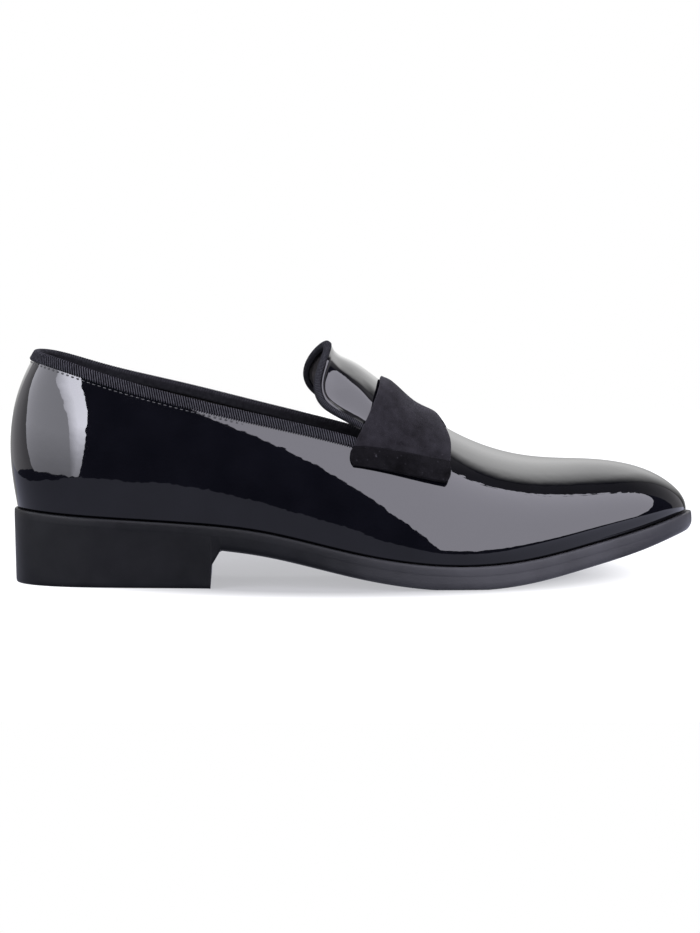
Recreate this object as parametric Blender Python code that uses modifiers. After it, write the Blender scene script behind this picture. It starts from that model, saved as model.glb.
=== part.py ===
"""Patent-leather evening loafer for the right foot.

The toe points along +X, the outer side of the foot is at -Y, +Z is up and the sole stands on z = 0.
Upper, strap and bindings are all read from one function, the outer face of the upper on its last.
"""
import math

import bmesh
import bpy
import numpy as np

MM = 0.001

# The last in millimetres: its length along the feather line, where the upper meets the sole
LAST_LENGTH = 295.4
LAST_MIDDLE = -0.3

# A row for each station from heel to toe: place along the shoe, middle line across it, half width at
# the feather line, heights of the feather line and of the ridge over the foot, lean of the ridge inward,
# the share by which the wall swells past the feather line, how square the section stands (2 is an
# ellipse), and the share by which it draws in to a ridge
STATION_COLUMNS = ("along", "middle", "half_width", "feather", "ridge", "lean", "bulge", "square", "peak")
STATIONS = (
    (-148.0, 0.4, 0.0, 33.2, 147.0, 0.0, 0.10, 2.0, 0.06),
    (-143.0, 0.4, 15.6, 33.0, 146.6, 0.0, 0.10, 2.0, 0.06),
    (-128.0, 0.2, 27.0, 32.0, 145.0, 0.0, 0.10, 2.0, 0.06),
    (-105.0, -0.4, 31.2, 30.6, 141.0, 0.3, 0.10, 2.0, 0.06),
    (-74.0, -1.8, 31.8, 28.8, 133.0, 1.0, 0.09, 2.06, 0.045),
    (-38.0, -5.3, 32.9, 25.0, 119.0, 2.4, 0.062, 2.09, 0.045),
    (0.0, -5.9, 38.3, 16.6, 98.2, 4.0, 0.043, 2.20, 0.032),
    (38.0, -1.8, 45.9, 11.3, 69.9, 5.0, 0.031, 2.36, 0.022),
    (74.0, 0.8, 44.0, 12.7, 55.8, 4.2, 0.054, 2.51, 0.018),
    (104.0, 2.3, 34.6, 19.1, 54.0, 2.6, 0.138, 2.50, 0.081),
    (128.0, 2.8, 22.9, 25.3, 49.9, 1.2, 0.197, 2.63, 0.079),
    (142.0, 3.0, 12.5, 29.8, 41.9, 0.3, 0.23, 2.80, 0.059),
    (147.4, 3.0, 0.0, 31.7, 31.7, 0.0, 0.23, 2.80, 0.059),
)
HEEL_BULGE = 3.2         # how far the heel's back swells behind the feather line
HEEL_CURVE_HEIGHT = 50.0  # the height where it is back above the feather line
HEEL_CURVE_POWER = 2.6   # how fast it then leans in to the collar
HEEL_CURVE_REACH = math.radians(75)

# The upper's wall and its top edge: place along the collar, height, and how much higher the inner side is
UPPER_WALL = 1.6
GAP = 0.3
COLLAR_COLUMNS = ("along", "top", "inner_rise")
COLLAR = (
    (-148.0, 102.7, 0.0),
    (-128.0, 99.2, 0.0),
    (-105.0, 92.7, 0.4),
    (-74.0, 84.5, 1.5),
    (-38.0, 76.3, 1.0),
    (0.0, 67.4, 0.0),
    (20.0, 61.4, 0.0),
)

# Slots part the tongue from the sides, and the tongue's top is a rounded tab that curls back at its corners
SLOT_END = 9.0
TONGUE_RISE = math.radians(44)
TONGUE_SIDE = 0.0
TONGUE_TIP = -11.3
TONGUE_CURL = -14.6
TONGUE_SKEW = -3.4
TONGUE_ROUNDNESS = 4.0

# Ribbon bindings folded over the edges
RIBBON = 0.9
COLLAR_BINDING_WIDTH = 3.7
COLLAR_BINDING_END = 0.0
TONGUE_BINDING_WIDTH = 1.6
TONGUE_BINDING_END = 5.6

# The strap and the folded bands at its ends: rises are angles up the section, at the rear and front edge
STRAP_THICKNESS = 2.0
STRAP_REAR_RIDGE = 13.4
STRAP_REAR_FLARE = 13.4
STRAP_REAR_POWER = 3.6
STRAP_FRONT = 42.6
STRAP_FRONT_DRAW = 5.2
STRAP_FRONT_POWER = 5
STRAP_END_RISES = (math.radians(34), math.radians(51))
BAND_THICKNESS = 3.0
BAND_FOOT_RISES = (math.radians(28), math.radians(38.4))
BAND_ALONG = (-1.2, 42.6)
BAND_CORNER = 1.4

# The moulded sole: how far its edge stands out at heel and toe, its thickness and its heel
EDGE_HEEL = 1.6
EDGE_TOE = 2.9
SOLE_THICKNESS = 11.5
TOE_THINNING = 1.6
TOE_THINNING_POWER = 6
BREAST_COLUMNS = ("along", "bottom")
BREAST = (
    (-62.5, 0.0),
    (-61.9, 10.4),
    (-58.5, 16.2),
)
# The edge's own profile: drop below its top and set-back from its lip, then the same up from its bottom,
# which is square under the heel and rounds up to the edge in front of it
EDGE_TOP_PROFILE = ((0.0, 0.8), (1.2, 0.0), (4.0, 0.1), (4.4, 0.5))
HEEL_FOOT_PROFILE = ((1.3, 0.4), (0.4, 0.7), (0.0, 1.4))
FRONT_FOOT_PROFILE = ((2.9, 0.6), (1.3, 2.0), (0.0, 9.0))

INSOLE_THICKNESS = 2.5
INSOLE_INSET = UPPER_WALL + 0.5

# Where the middle of the finished box lies, so that the shoe stands centred on the origin
BOX_MIDDLE = (-0.45, -0.79)

# How finely the faces are laid
COLLAR_STEPS = 44
WALL_STEPS = 8
TONGUE_STEPS = 14
TONGUE_ROWS = 6
VAMP_STEPS = 20
STRAP_STEPS = 20
STRAP_COLUMNS = 6
BAND_ROWS = 3
HEEL_STEPS = 13
FRONT_STEPS = 26
INSOLE_STEPS = 28

# Small angles: the step for slopes, the stretch at the toe's point that has no slope of its own, and the
# least distance between two places along the collar
NUDGE = 1e-3
TOE_POINT = 0.03
LEAST_STEP = 0.02


def smooth_curve(places, values):
    """A natural cubic spline through the values, as a function of place."""
    places = np.asarray(places, float)
    values = np.asarray(values, float)
    steps = np.diff(places)
    slopes = np.diff(values) / steps
    count = len(places)
    matrix = np.eye(count)
    pull = np.zeros(count)
    for i in range(1, count - 1):
        matrix[i, i - 1] = steps[i - 1]
        matrix[i, i] = 2.0 * (steps[i - 1] + steps[i])
        matrix[i, i + 1] = steps[i]
        pull[i] = 6.0 * (slopes[i] - slopes[i - 1])
    bends = np.linalg.solve(matrix, pull)

    def curve(at):
        at = np.asarray(at, float)
        i = np.clip(np.searchsorted(places, at) - 1, 0, count - 2)
        before = at - places[i]
        after = places[i + 1] - at
        step = steps[i]
        bent = (bends[i] * after ** 3 + bends[i + 1] * before ** 3) / (6.0 * step)
        start = (values[i] / step - bends[i] * step / 6.0) * after
        end = (values[i + 1] / step - bends[i + 1] * step / 6.0) * before
        return bent + start + end

    return curve


def turn_at(along):
    """The turn round the shoe, 0 at the heel and pi at the toe, of a place along it."""
    reach = np.clip((LAST_MIDDLE - np.asarray(along, float)) / (LAST_LENGTH / 2), -1.0, 1.0)
    return np.arccos(reach)


def mirrored_curve(along, values, heel_sign, toe_sign):
    """A smooth function of the turn that carries on past heel and toe as its own mirror image."""
    turns = turn_at(along)
    values = np.asarray(values, float)
    behind = -turns[:0:-1]
    ahead = 2.0 * math.pi - turns[-2::-1]
    all_turns = np.concatenate((behind, turns, ahead))
    all_values = np.concatenate((heel_sign * values[:0:-1], values, toe_sign * values[-2::-1]))
    return smooth_curve(all_turns, all_values)


TABLE = dict(zip(STATION_COLUMNS, np.array(STATIONS).T))
middle_line = mirrored_curve(TABLE["along"], TABLE["middle"], 1, 1)
half_width = mirrored_curve(TABLE["along"], TABLE["half_width"], -1, -1)
feather_height = mirrored_curve(TABLE["along"], TABLE["feather"], 1, 1)
section_height = mirrored_curve(TABLE["along"], TABLE["ridge"] - TABLE["feather"], 1, -1)
ridge_lean = mirrored_curve(TABLE["along"], TABLE["lean"], 1, 1)
side_bulge = mirrored_curve(TABLE["along"], TABLE["bulge"], 1, 1)
wall_square = mirrored_curve(TABLE["along"], TABLE["square"], 1, 1)
ridge_peak = mirrored_curve(TABLE["along"], TABLE["peak"], 1, 1)

COLLAR_TABLE = dict(zip(COLLAR_COLUMNS, np.array(COLLAR).T))
collar_turns = turn_at(COLLAR_TABLE["along"])
collar_top = smooth_curve(
    np.concatenate((-collar_turns[:0:-1], collar_turns)),
    np.concatenate((COLLAR_TABLE["top"][:0:-1], COLLAR_TABLE["top"] + COLLAR_TABLE["inner_rise"])),
)


def outer_face(turn, rise):
    """A point of the upper's outer face.

    The turn runs round the shoe, negative on the outer side, and the rise from the feather line (0)
    over the ridge (pi / 2) to the other side's feather line (pi).
    """
    turn, rise = np.broadcast_arrays(np.asarray(turn, float), np.asarray(rise, float))
    up = np.sin(rise)
    height = section_height(turn) * up
    swell = 1.0 + side_bulge(turn) * (1.0 - (1.0 - up) ** 4)
    wall = np.sign(np.cos(rise)) * np.sqrt(np.maximum(1.0 - np.abs(up) ** wall_square(turn), 0.0))
    peak = ridge_peak(turn)
    reach = (wall + peak * np.cos(3.0 * rise)) / (1.0 + peak)
    across = middle_line(turn) + ridge_lean(turn) * up ** 2 + half_width(turn) * reach * swell
    share = np.maximum(height, 0.0) / HEEL_CURVE_HEIGHT
    fullest = HEEL_CURVE_POWER ** (1.0 / (1.0 - HEEL_CURVE_POWER))
    depth = fullest - fullest ** HEEL_CURVE_POWER
    back = HEEL_BULGE / depth * (share ** HEEL_CURVE_POWER - share)
    fade = np.where(
        np.abs(turn) < HEEL_CURVE_REACH,
        np.cos(turn * (math.pi / 2) / HEEL_CURVE_REACH) ** 4,
        0.0,
    )
    along = LAST_MIDDLE - LAST_LENGTH / 2 * np.cos(turn) + back * fade
    return np.stack((along, across, feather_height(turn) + height), axis=-1)


def face_slopes(turn, rise):
    """How the outer face's point moves with the turn and with the rise."""
    onward = (outer_face(turn + NUDGE, rise) - outer_face(turn - NUDGE, rise)) / (2.0 * NUDGE)
    up = (outer_face(turn, rise + NUDGE) - outer_face(turn, rise - NUDGE)) / (2.0 * NUDGE)
    return onward, up


def outward(turn, rise):
    """The outer face's unit normal, pointing away from the foot."""
    turn = np.clip(turn, TOE_POINT - math.pi, math.pi - TOE_POINT)
    onward, up = face_slopes(turn, rise)
    normal = np.cross(up, onward)
    return normal / np.linalg.norm(normal, axis=-1, keepdims=True)


def lifted_face(turn, rise, lift):
    """A point this far outside the upper's outer face."""
    return outer_face(turn, rise) + lift * outward(turn, rise)


def steps_along_face(turn, rise, direction):
    """The changes of turn and rise that go one millimetre along the outer face in a direction."""
    onward, up = face_slopes(turn, rise)
    cross = np.sum(onward * up, axis=-1)
    onward_size = np.sum(onward * onward, axis=-1)
    up_size = np.sum(up * up, axis=-1)
    onward_part = np.sum(onward * direction, axis=-1)
    up_part = np.sum(up * direction, axis=-1)
    scale = onward_size * up_size - cross ** 2
    turn_step = (onward_part * up_size - up_part * cross) / scale
    rise_step = (up_part * onward_size - onward_part * cross) / scale
    return turn_step, rise_step


def collar_rise(turn):
    """The rise of the upper's own edge at the collar, which the ribbon's fold covers."""
    edge = collar_top(turn) - GAP - RIBBON
    return np.arcsin((edge - feather_height(turn)) / section_height(turn))


def tongue_edge(share):
    """Turn and rise of the tongue's edge: the share runs from -1 on the outer side to 1 on the inner side."""
    tip = TONGUE_TIP + TONGUE_CURL * share ** 2 + TONGUE_SKEW * share
    roundness = (1.0 - np.abs(share) ** TONGUE_ROUNDNESS) ** (1.0 / TONGUE_ROUNDNESS)
    along = TONGUE_SIDE + (tip - TONGUE_SIDE) * roundness
    rise = math.pi / 2 - share * (math.pi / 2 - TONGUE_RISE)
    return turn_at(along), rise


def tongue_shares():
    """Shares across the tongue, closer together at its rounded corners."""
    return np.sin(np.linspace(-math.pi / 2, math.pi / 2, TONGUE_STEPS + 1))


def grid_faces(rows, columns, first):
    """Faces of a grid of points whose rows go on along the turn and whose columns go up the rise."""
    faces = []
    for row in range(rows - 1):
        for column in range(columns - 1):
            corner = first + row * columns + column
            faces.append((corner, corner + 1, corner + columns + 1, corner + columns))
    return faces


def join_grids(grids):
    """Points and faces of several grids, each an array of rows, columns and coordinates."""
    points = []
    faces = []
    for grid in grids:
        faces += grid_faces(grid.shape[0], grid.shape[1], len(points))
        points += [tuple(point) for point in grid.reshape(-1, 3)]
    return points, faces


def plain_material(name, colour, roughness):
    """A material with one colour and one roughness."""
    material = bpy.data.materials.new(name)
    material.use_nodes = True
    shader = material.node_tree.nodes["Principled BSDF"]
    shader.inputs["Base Color"].default_value = (*colour, 1.0)
    shader.inputs["Roughness"].default_value = roughness
    shader.inputs["Metallic"].default_value = 0.0
    return material


def add_piece(name, points, faces, material):
    """A named mesh object under the shoe's empty, with its points given in millimetres."""
    mesh = bpy.data.meshes.new(name)
    mesh.from_pydata([tuple(value * MM for value in point) for point in points], [], faces)
    body = bmesh.new()
    body.from_mesh(mesh)
    bmesh.ops.remove_doubles(body, verts=body.verts, dist=1e-6)
    body.to_mesh(mesh)
    body.free()
    mesh.materials.append(material)
    mesh.shade_smooth()
    piece = bpy.data.objects.new(name, mesh)
    shoe_parts.objects.link(piece)
    piece.parent = shoe
    return piece


def thicken(piece, thickness, side):
    """Give an open surface its wall, outward for side 1 and inward for side -1."""
    wall = piece.modifiers.new("Wall", "SOLIDIFY")
    wall.thickness = thickness * MM
    wall.offset = side
    wall.use_rim = True


def make_upper():
    """The lasted upper: sides and heel, vamp and tongue in one wall."""
    slot = float(turn_at(SLOT_END))
    turns = np.linspace(-slot, slot, COLLAR_STEPS + 1)[:, None]
    wall_shares = np.linspace(0.0, 1.0, WALL_STEPS + 1)[None, :]
    sides = outer_face(turns, collar_rise(turns) * wall_shares)

    inner_rises = collar_rise(slot) * wall_shares[0]
    outer_rises = collar_rise(-slot) * wall_shares[0]
    tongue_rises = np.sort(math.pi / 2 - tongue_shares() * (math.pi / 2 - TONGUE_RISE))
    rises = np.concatenate((inner_rises, tongue_rises, math.pi - outer_rises[::-1]))
    stations = np.linspace(slot, math.pi, VAMP_STEPS + 1)
    vamp = outer_face(stations[:, None], rises[None, :])

    edge_turns, edge_rises = tongue_edge(tongue_shares()[::-1])
    row_shares = np.linspace(1.0, 0.0, TONGUE_ROWS + 1)[:, None]
    tongue_turns = slot + (edge_turns[None, :] - slot) * row_shares
    tongue = outer_face(tongue_turns, edge_rises[None, :])

    points, faces = join_grids((sides, vamp, tongue))
    upper = add_piece("upper", points, faces, PATENT)
    thicken(upper, UPPER_WALL, -1)


def fold_ribbon(name, turns, rises, width):
    """A ribbon folded over an edge of the upper, given by the turns and rises along it."""
    normal = outward(turns, rises)
    edge_line = np.gradient(outer_face(turns, rises), axis=0)
    inward = np.cross(normal, edge_line)
    inward /= np.linalg.norm(inward, axis=1, keepdims=True)
    turn_step, rise_step = steps_along_face(turns, rises, inward)
    outer_lift = GAP + RIBBON
    inner_lift = -UPPER_WALL - GAP - RIBBON
    crown = -GAP - RIBBON
    section = (
        (width, outer_lift),
        (crown / 2, outer_lift),
        (crown, outer_lift / 3),
        (crown, inner_lift / 2),
        (crown / 2, inner_lift),
        (width, inner_lift),
        (width, inner_lift + RIBBON),
        (-GAP, inner_lift + RIBBON),
        (-GAP, GAP),
        (width, GAP),
    )
    rings = np.stack(
        [lifted_face(turns + inset * turn_step, rises + inset * rise_step, lift) for inset, lift in section],
        axis=1,
    )
    points = [tuple(point) for point in rings.reshape(-1, 3)]
    sides = len(section)
    faces = []
    for row in range(len(turns) - 1):
        for side in range(sides):
            corner = row * sides + side
            beside = row * sides + (side + 1) % sides
            faces.append((corner, beside, beside + sides, corner + sides))
    faces.append(tuple(range(sides))[::-1])
    last = (len(turns) - 1) * sides
    faces.append(tuple(range(last, last + sides)))
    add_piece(name, points, faces, RIBBON_CLOTH)


def make_collar_binding():
    """The wide ribbon from one side of the tongue round the heel to the other."""
    slot = float(turn_at(SLOT_END))
    end = float(turn_at(COLLAR_BINDING_END))
    turns = np.linspace(-slot, slot, COLLAR_STEPS + 1)
    turns = np.concatenate(([-end], turns[np.abs(turns) < end - LEAST_STEP], [end]))
    fold_ribbon("collar_binding", turns, collar_rise(turns), COLLAR_BINDING_WIDTH)


def make_tongue_binding():
    """The narrow ribbon over the tongue's edge."""
    turns, rises = tongue_edge(tongue_shares()[::-1])
    end = float(turn_at(TONGUE_BINDING_END))
    turns = np.concatenate(([end], turns, [end]))
    rises = np.concatenate(([TONGUE_RISE], rises, [math.pi - TONGUE_RISE]))
    fold_ribbon("tongue_binding", turns, rises, TONGUE_BINDING_WIDTH)


def strap_edges(down):
    """Places along the shoe of the strap's rear and front edge, from its ridge (0) to its ends (1 and -1)."""
    rear = STRAP_REAR_RIDGE - STRAP_REAR_FLARE * np.abs(down) ** STRAP_REAR_POWER
    front = STRAP_FRONT - STRAP_FRONT_DRAW * (1.0 - np.square(down)) ** STRAP_FRONT_POWER
    return rear, front


def strap_end_rise(along):
    """The rise of the line where the strap ends and its folded band begins."""
    rear, front = strap_edges(1.0)
    share = (along - rear) / (front - rear)
    return STRAP_END_RISES[0] + share * (STRAP_END_RISES[1] - STRAP_END_RISES[0])


def make_strap():
    """The velvet band across the instep, flared to the rear at its ends."""
    shares = np.linspace(0.0, 1.0, STRAP_COLUMNS + 1)[:, None]
    down = np.linspace(1.0, -1.0, STRAP_STEPS + 1)[None, :]
    rear, front = strap_edges(down)
    along = rear + shares * (front - rear)
    rises = math.pi / 2 - down * (math.pi / 2 - strap_end_rise(along[:, :1]))
    turns = turn_at(along)
    points, faces = join_grids((lifted_face(turns, rises, GAP),))
    thicken(add_piece("strap", points, faces, VELVET), STRAP_THICKNESS, 1)


def make_strap_end(name, side):
    """The folded band that ends the strap, on the inner side for 1 and on the outer side for -1."""
    shares = np.linspace(0.0, 1.0, STRAP_COLUMNS + 1)[:, None]
    up = np.linspace(0.0, 1.0, BAND_ROWS + 1)[None, :]
    bow = BAND_CORNER * (2.0 * up - 1.0) ** 2
    along = BAND_ALONG[0] + bow + shares * (BAND_ALONG[1] - BAND_ALONG[0] - 2.0 * bow)
    turns = turn_at(along)
    foot = BAND_FOOT_RISES[0] + shares * (BAND_FOOT_RISES[1] - BAND_FOOT_RISES[0])
    head = strap_end_rise(along) - 2.0 * GAP / section_height(turns)
    rises = foot + up * (head - foot)
    points, faces = join_grids((lifted_face(side * turns, rises, GAP),))
    if side < 0:
        faces = [face[::-1] for face in faces]
    thicken(add_piece(name, points, faces, VELVET), BAND_THICKNESS, 1)


def feather_outline(turns, spread):
    """The feather line seen from above, spread outward by a distance at each turn."""
    plan = outer_face(turns, 0.0)[:, :2]
    onward = face_slopes(turns, 0.0)[0][:, :2]
    onward /= np.linalg.norm(onward, axis=1, keepdims=True)
    away = np.stack((-onward[:, 1], onward[:, 0]), axis=1)
    return plan + away * np.asarray(spread)[:, None]


def round_the_shoe(stations):
    """Turns of a closed loop: heel, inner side, toe, outer side."""
    return np.concatenate((stations, -stations[-2:0:-1]))


def add_slab(name, rings, material):
    """A closed body from loops of points stacked upward, its lowest and highest closed by rungs across."""
    loop = len(rings[0])
    half = loop // 2
    points = [tuple(point) for ring in rings for point in ring]
    faces = []
    for level in range(len(rings) - 1):
        for i in range(loop):
            beside = (i + 1) % loop
            low = level * loop
            high = low + loop
            faces.append((low + i, high + i, high + beside, low + beside))
    top = (len(rings) - 1) * loop
    for i in range(half):
        rung = [i, i + 1, (loop - i - 1) % loop, (loop - i) % loop]
        corners = list(dict.fromkeys(rung))
        faces.append(tuple(corners))
        faces.append(tuple(top + corner for corner in corners[::-1]))
    return add_piece(name, points, faces, material)


def make_outsole():
    """The moulded sole with its low heel, arch, toe spring and the crease round its edge."""
    breast = dict(zip(BREAST_COLUMNS, np.array(BREAST).T))
    heel_stations = np.linspace(0.0, turn_at(breast["along"][0]), HEEL_STEPS + 1)[:-1]
    front_stations = np.linspace(turn_at(breast["along"][-1]), math.pi, FRONT_STEPS + 1)[1:]
    stations = np.concatenate((heel_stations, turn_at(breast["along"]), front_stations))
    turns = round_the_shoe(stations)
    top = feather_height(turns) - GAP
    toe_share = (1.0 - np.cos(turns)) / 2
    thickness = SOLE_THICKNESS - TOE_THINNING * toe_share ** TOE_THINNING_POWER
    sole_bottom = np.maximum(feather_height(turns) - thickness, 0.0)
    breast_bottom = np.interp(np.abs(turns), turn_at(breast["along"]), breast["bottom"])
    past_breast = np.abs(turns) > turn_at(breast["along"][-1]) + NUDGE
    bottom = np.where(past_breast, sole_bottom, breast_bottom)
    lip = EDGE_HEEL + (EDGE_TOE - EDGE_HEEL) * toe_share
    rings = []
    for drop, setback in EDGE_TOP_PROFILE:
        rings.append(np.column_stack((feather_outline(turns, lip - setback), top - drop)))
    for heel_foot, front_foot in zip(HEEL_FOOT_PROFILE, FRONT_FOOT_PROFILE):
        raised, setback = np.where(past_breast[:, None], front_foot, heel_foot).T
        rings.append(np.column_stack((feather_outline(turns, lip - setback), bottom + raised)))
    add_slab("outsole", rings[::-1], RUBBER)


def make_insole():
    """The footbed inside the upper."""
    turns = round_the_shoe(np.linspace(0.0, math.pi, INSOLE_STEPS + 1))
    outline = feather_outline(turns, np.full(len(turns), -INSOLE_INSET))
    feather = feather_height(turns)
    rings = [np.column_stack((outline, feather + raised)) for raised in (0.0, INSOLE_THICKNESS)]
    add_slab("insole", rings, LINING)


for item in list(bpy.data.objects):
    bpy.data.objects.remove(item, do_unlink=True)

shoe_parts = bpy.data.collections.new("dress_loafer")
bpy.context.scene.collection.children.link(shoe_parts)
shoe = bpy.data.objects.new("dress_loafer", None)
shoe.location = (-BOX_MIDDLE[0] * MM, -BOX_MIDDLE[1] * MM, 0.0)
shoe_parts.objects.link(shoe)

PATENT = plain_material("patent_leather", (0.004, 0.004, 0.007), 0.05)
RIBBON_CLOTH = plain_material("grosgrain_ribbon", (0.025, 0.025, 0.030), 0.7)
VELVET = plain_material("velvet", (0.018, 0.017, 0.021), 0.9)
RUBBER = plain_material("moulded_sole", (0.016, 0.017, 0.021), 0.45)
LINING = plain_material("lining_leather", (0.012, 0.012, 0.013), 0.6)

make_outsole()
make_insole()
make_upper()
make_collar_binding()
make_tongue_binding()
make_strap()
make_strap_end("strap_end_lateral", -1)
make_strap_end("strap_end_medial", 1)
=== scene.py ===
"""Looks of a patent-leather evening loafer for the right foot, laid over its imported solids.

The toe points along +X, the outer side of the foot is at -Y and +Z is up. Shapes are given in millimetres
on the shoe's last, by the turn round it and the rise up its section, and placed in metres.
"""
import math

import bpy
import numpy as np
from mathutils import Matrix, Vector


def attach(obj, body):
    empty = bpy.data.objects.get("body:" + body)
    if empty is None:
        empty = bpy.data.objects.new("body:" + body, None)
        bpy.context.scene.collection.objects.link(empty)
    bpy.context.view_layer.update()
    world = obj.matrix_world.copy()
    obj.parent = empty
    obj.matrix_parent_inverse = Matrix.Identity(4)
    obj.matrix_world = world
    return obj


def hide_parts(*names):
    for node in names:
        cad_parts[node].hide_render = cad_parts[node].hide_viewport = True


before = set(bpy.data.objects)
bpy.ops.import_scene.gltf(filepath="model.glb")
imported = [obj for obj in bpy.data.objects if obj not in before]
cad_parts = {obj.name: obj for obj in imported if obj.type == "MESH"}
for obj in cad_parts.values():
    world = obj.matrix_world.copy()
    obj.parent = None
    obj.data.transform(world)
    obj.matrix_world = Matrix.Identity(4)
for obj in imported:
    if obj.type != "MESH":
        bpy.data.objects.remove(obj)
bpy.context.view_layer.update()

MM = 0.001

# The last, as in the part's source: its length along the feather line, where the upper meets the sole
LAST_LENGTH = 295.4
LAST_MIDDLE = -0.3
STATIONS = (
    (-148.0, 0.4, 0.0, 33.2, 147.0, 0.0, 0.10, 2.0, 0.06),
    (-143.0, 0.4, 15.6, 33.0, 146.6, 0.0, 0.10, 2.0, 0.06),
    (-128.0, 0.2, 27.0, 32.0, 145.0, 0.0, 0.10, 2.0, 0.06),
    (-105.0, -0.4, 31.2, 30.6, 141.0, 0.3, 0.10, 2.0, 0.06),
    (-74.0, -1.8, 31.8, 28.8, 133.0, 1.0, 0.09, 2.06, 0.045),
    (-38.0, -5.3, 32.9, 25.0, 119.0, 2.4, 0.062, 2.09, 0.045),
    (0.0, -5.9, 38.3, 16.6, 98.2, 4.0, 0.043, 2.20, 0.032),
    (38.0, -1.8, 45.9, 11.3, 69.9, 5.0, 0.031, 2.36, 0.022),
    (74.0, 0.8, 44.0, 12.7, 55.8, 4.2, 0.054, 2.51, 0.018),
    (104.0, 2.3, 34.6, 19.1, 54.0, 2.6, 0.138, 2.50, 0.081),
    (128.0, 2.8, 22.9, 25.3, 49.9, 1.2, 0.197, 2.63, 0.079),
    (142.0, 3.0, 12.5, 29.8, 41.9, 0.3, 0.23, 2.80, 0.059),
    (147.4, 3.0, 0.0, 31.7, 31.7, 0.0, 0.23, 2.80, 0.059),
)
ALONG, MIDDLE, HALF_WIDTH, FEATHER, RIDGE, LEAN, BULGE, SQUARE, PEAK = np.array(STATIONS).T
HEEL_BULGE = 3.2
HEEL_CURVE_HEIGHT = 50.0
HEEL_CURVE_POWER = 2.6
HEEL_CURVE_REACH = math.radians(75)
BOX_MIDDLE = (-0.45, -0.79)

# The upper's wall, collar and tongue
UPPER_WALL = 1.6
GAP = 0.3
TUCK = 1.0
TUCK_SHARE = 0.25
COLLAR = (
    (-148.0, 102.7, 0.0),
    (-128.0, 99.2, 0.0),
    (-105.0, 92.7, 0.4),
    (-74.0, 84.5, 1.5),
    (-38.0, 76.3, 1.0),
    (0.0, 67.4, 0.0),
    (20.0, 61.4, 0.0),
)
COLLAR_ALONG, COLLAR_HEIGHT, INNER_RISE = np.array(COLLAR).T
SLOT_END = 9.0
TONGUE_RISE = math.radians(44)
TONGUE_SIDE = 0.0
TONGUE_TIP = -11.3
TONGUE_CURL = -14.6
TONGUE_SKEW = -3.4
TONGUE_ROUNDNESS = 4.0

# Ribbon bindings
RIBBON = 0.9
COLLAR_BINDING_WIDTH = 3.7
COLLAR_BINDING_END = 5.0
TONGUE_BINDING_WIDTH = 1.6
TONGUE_BINDING_END = 5.6

# Strap and its folded bands
STRAP_REAR_RIDGE = 11.6
STRAP_REAR_FLARE = 11.6
STRAP_REAR_POWER = 2.4
STRAP_FRONT = 42.6
STRAP_FRONT_DRAW = 5.2
STRAP_FRONT_POWER = 5
STRAP_FAR_POWER = 3.2
STRAP_END_RISES = (math.radians(34), math.radians(51))
BAND_FOOT_RISES = (math.radians(28), math.radians(38.4))
BAND_ALONG = (-1.2, 42.6)

# Moulded sole
EDGE_HEEL = 1.6
EDGE_TOE = 2.9
SOLE_THICKNESS = 11.5
TOE_THINNING = 1.6
TOE_THINNING_POWER = 6
BREAST = ((-62.5, 0.0), (-61.9, 10.4), (-58.5, 16.2))
INSOLE_THICKNESS = 2.5
INSOLE_INSET = UPPER_WALL + 0.5

# Small steps: for slopes, to stay short of the toe's point, and where a section has no height
NUDGE = 1e-3
TOE_POINT = 0.03
NO_HEIGHT = 1e-6


def smooth_curve(places, values):
    """A natural cubic spline through the values, as a function of place."""
    places = np.asarray(places, float)
    values = np.asarray(values, float)
    steps = np.diff(places)
    slopes = np.diff(values) / steps
    count = len(places)
    matrix = np.eye(count)
    pull = np.zeros(count)
    for i in range(1, count - 1):
        matrix[i, i - 1] = steps[i - 1]
        matrix[i, i] = 2.0 * (steps[i - 1] + steps[i])
        matrix[i, i + 1] = steps[i]
        pull[i] = 6.0 * (slopes[i] - slopes[i - 1])
    bends = np.linalg.solve(matrix, pull)

    def curve(at):
        at = np.asarray(at, float)
        i = np.clip(np.searchsorted(places, at) - 1, 0, count - 2)
        before = at - places[i]
        after = places[i + 1] - at
        step = steps[i]
        bent = (bends[i] * after ** 3 + bends[i + 1] * before ** 3) / (6.0 * step)
        start = (values[i] / step - bends[i] * step / 6.0) * after
        end = (values[i + 1] / step - bends[i + 1] * step / 6.0) * before
        return bent + start + end

    return curve


def turn_at(along):
    """The turn round the shoe, 0 at the heel and pi at the toe, of a place along it."""
    reach = np.clip((LAST_MIDDLE - np.asarray(along, float)) / (LAST_LENGTH / 2), -1.0, 1.0)
    return np.arccos(reach)


def place_at(turn):
    """The place along the shoe of a turn round it, on the feather line."""
    return LAST_MIDDLE - LAST_LENGTH / 2 * np.cos(turn)


def between(ends, share):
    """The value at a share of the way from one end to the other."""
    return ends[0] + (ends[1] - ends[0]) * share


def eased(at, start, end):
    """A share that goes softly from 0 at the start to 1 at the end."""
    share = np.clip((at - start) / (end - start), 0.0, 1.0)
    return share ** 2 * (3.0 - 2.0 * share)


STATION_TURNS = turn_at(ALONG)


def mirrored_curve(values, heel_sign=1, toe_sign=1):
    """A smooth function of the turn that carries on past heel and toe as its own mirror image."""
    behind = -STATION_TURNS[:0:-1]
    ahead = 2.0 * math.pi - STATION_TURNS[-2::-1]
    turns = np.concatenate((behind, STATION_TURNS, ahead))
    mirrored = np.concatenate((heel_sign * values[:0:-1], values, toe_sign * values[-2::-1]))
    return smooth_curve(turns, mirrored)


middle_line = mirrored_curve(MIDDLE)
half_width = mirrored_curve(HALF_WIDTH, -1, -1)
feather_height = mirrored_curve(FEATHER)
section_height = mirrored_curve(RIDGE - FEATHER, 1, -1)
ridge_lean = mirrored_curve(LEAN)
side_bulge = mirrored_curve(BULGE)
wall_square = mirrored_curve(SQUARE)
ridge_peak = mirrored_curve(PEAK)

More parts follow.
